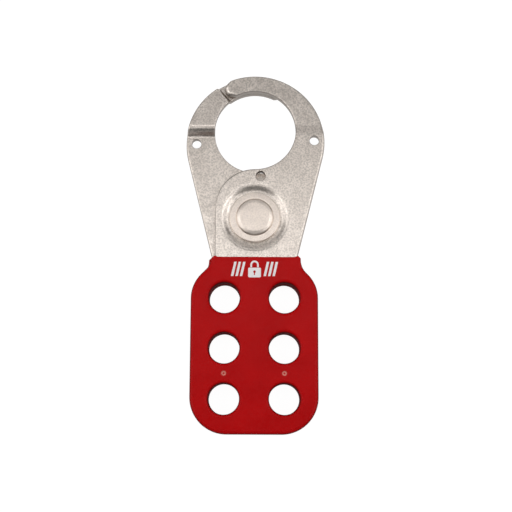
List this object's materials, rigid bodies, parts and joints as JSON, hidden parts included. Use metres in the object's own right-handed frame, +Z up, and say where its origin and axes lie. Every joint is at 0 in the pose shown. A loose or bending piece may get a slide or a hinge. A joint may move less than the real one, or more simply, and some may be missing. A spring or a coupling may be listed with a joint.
{
  "type": "lockout hasp",
  "caption": "Scissor-action lockout hasp: riveted steel jaws close into a ring, and their vinyl-coated handles line up to take padlock shackles.",
  "frame": {"origin": "under the middle of the closed hasp's outline, on the rear handle's underside", "axes": "+Y runs from the handles to the jaws, +Z is up out of the front plate, +X is to the right seen from the front"},
  "size_m": [0.0432, 0.1116, 0.0085],
  "materials": {
    "plated_steel": "satin nickel plate on stamped sheet",
    "rivet_steel": "bright nickel plate",
    "red_vinyl": "glossy dipped coat",
    "white_ink": "pad-printed mark on the front handle"
  },
  "bodies": {
    "rear_half": {"rear_jaw": "plated_steel", "rear_grip": "red_vinyl", "pivot_rivet": "rivet_steel", "rear_washer": "rivet_steel", "front_washer": "rivet_steel"},
    "front_half": {"front_jaw": "plated_steel", "front_grip": "red_vinyl"}
  },
  "joints": [
    {"name": "jaw_hinge", "type": "hinge", "parent": "rear_half", "child": "front_half", "pos_m": [0, 0.01008, 0.00425], "axis": [0, 0, -1], "range_deg": [0, 90]}
  ]
}
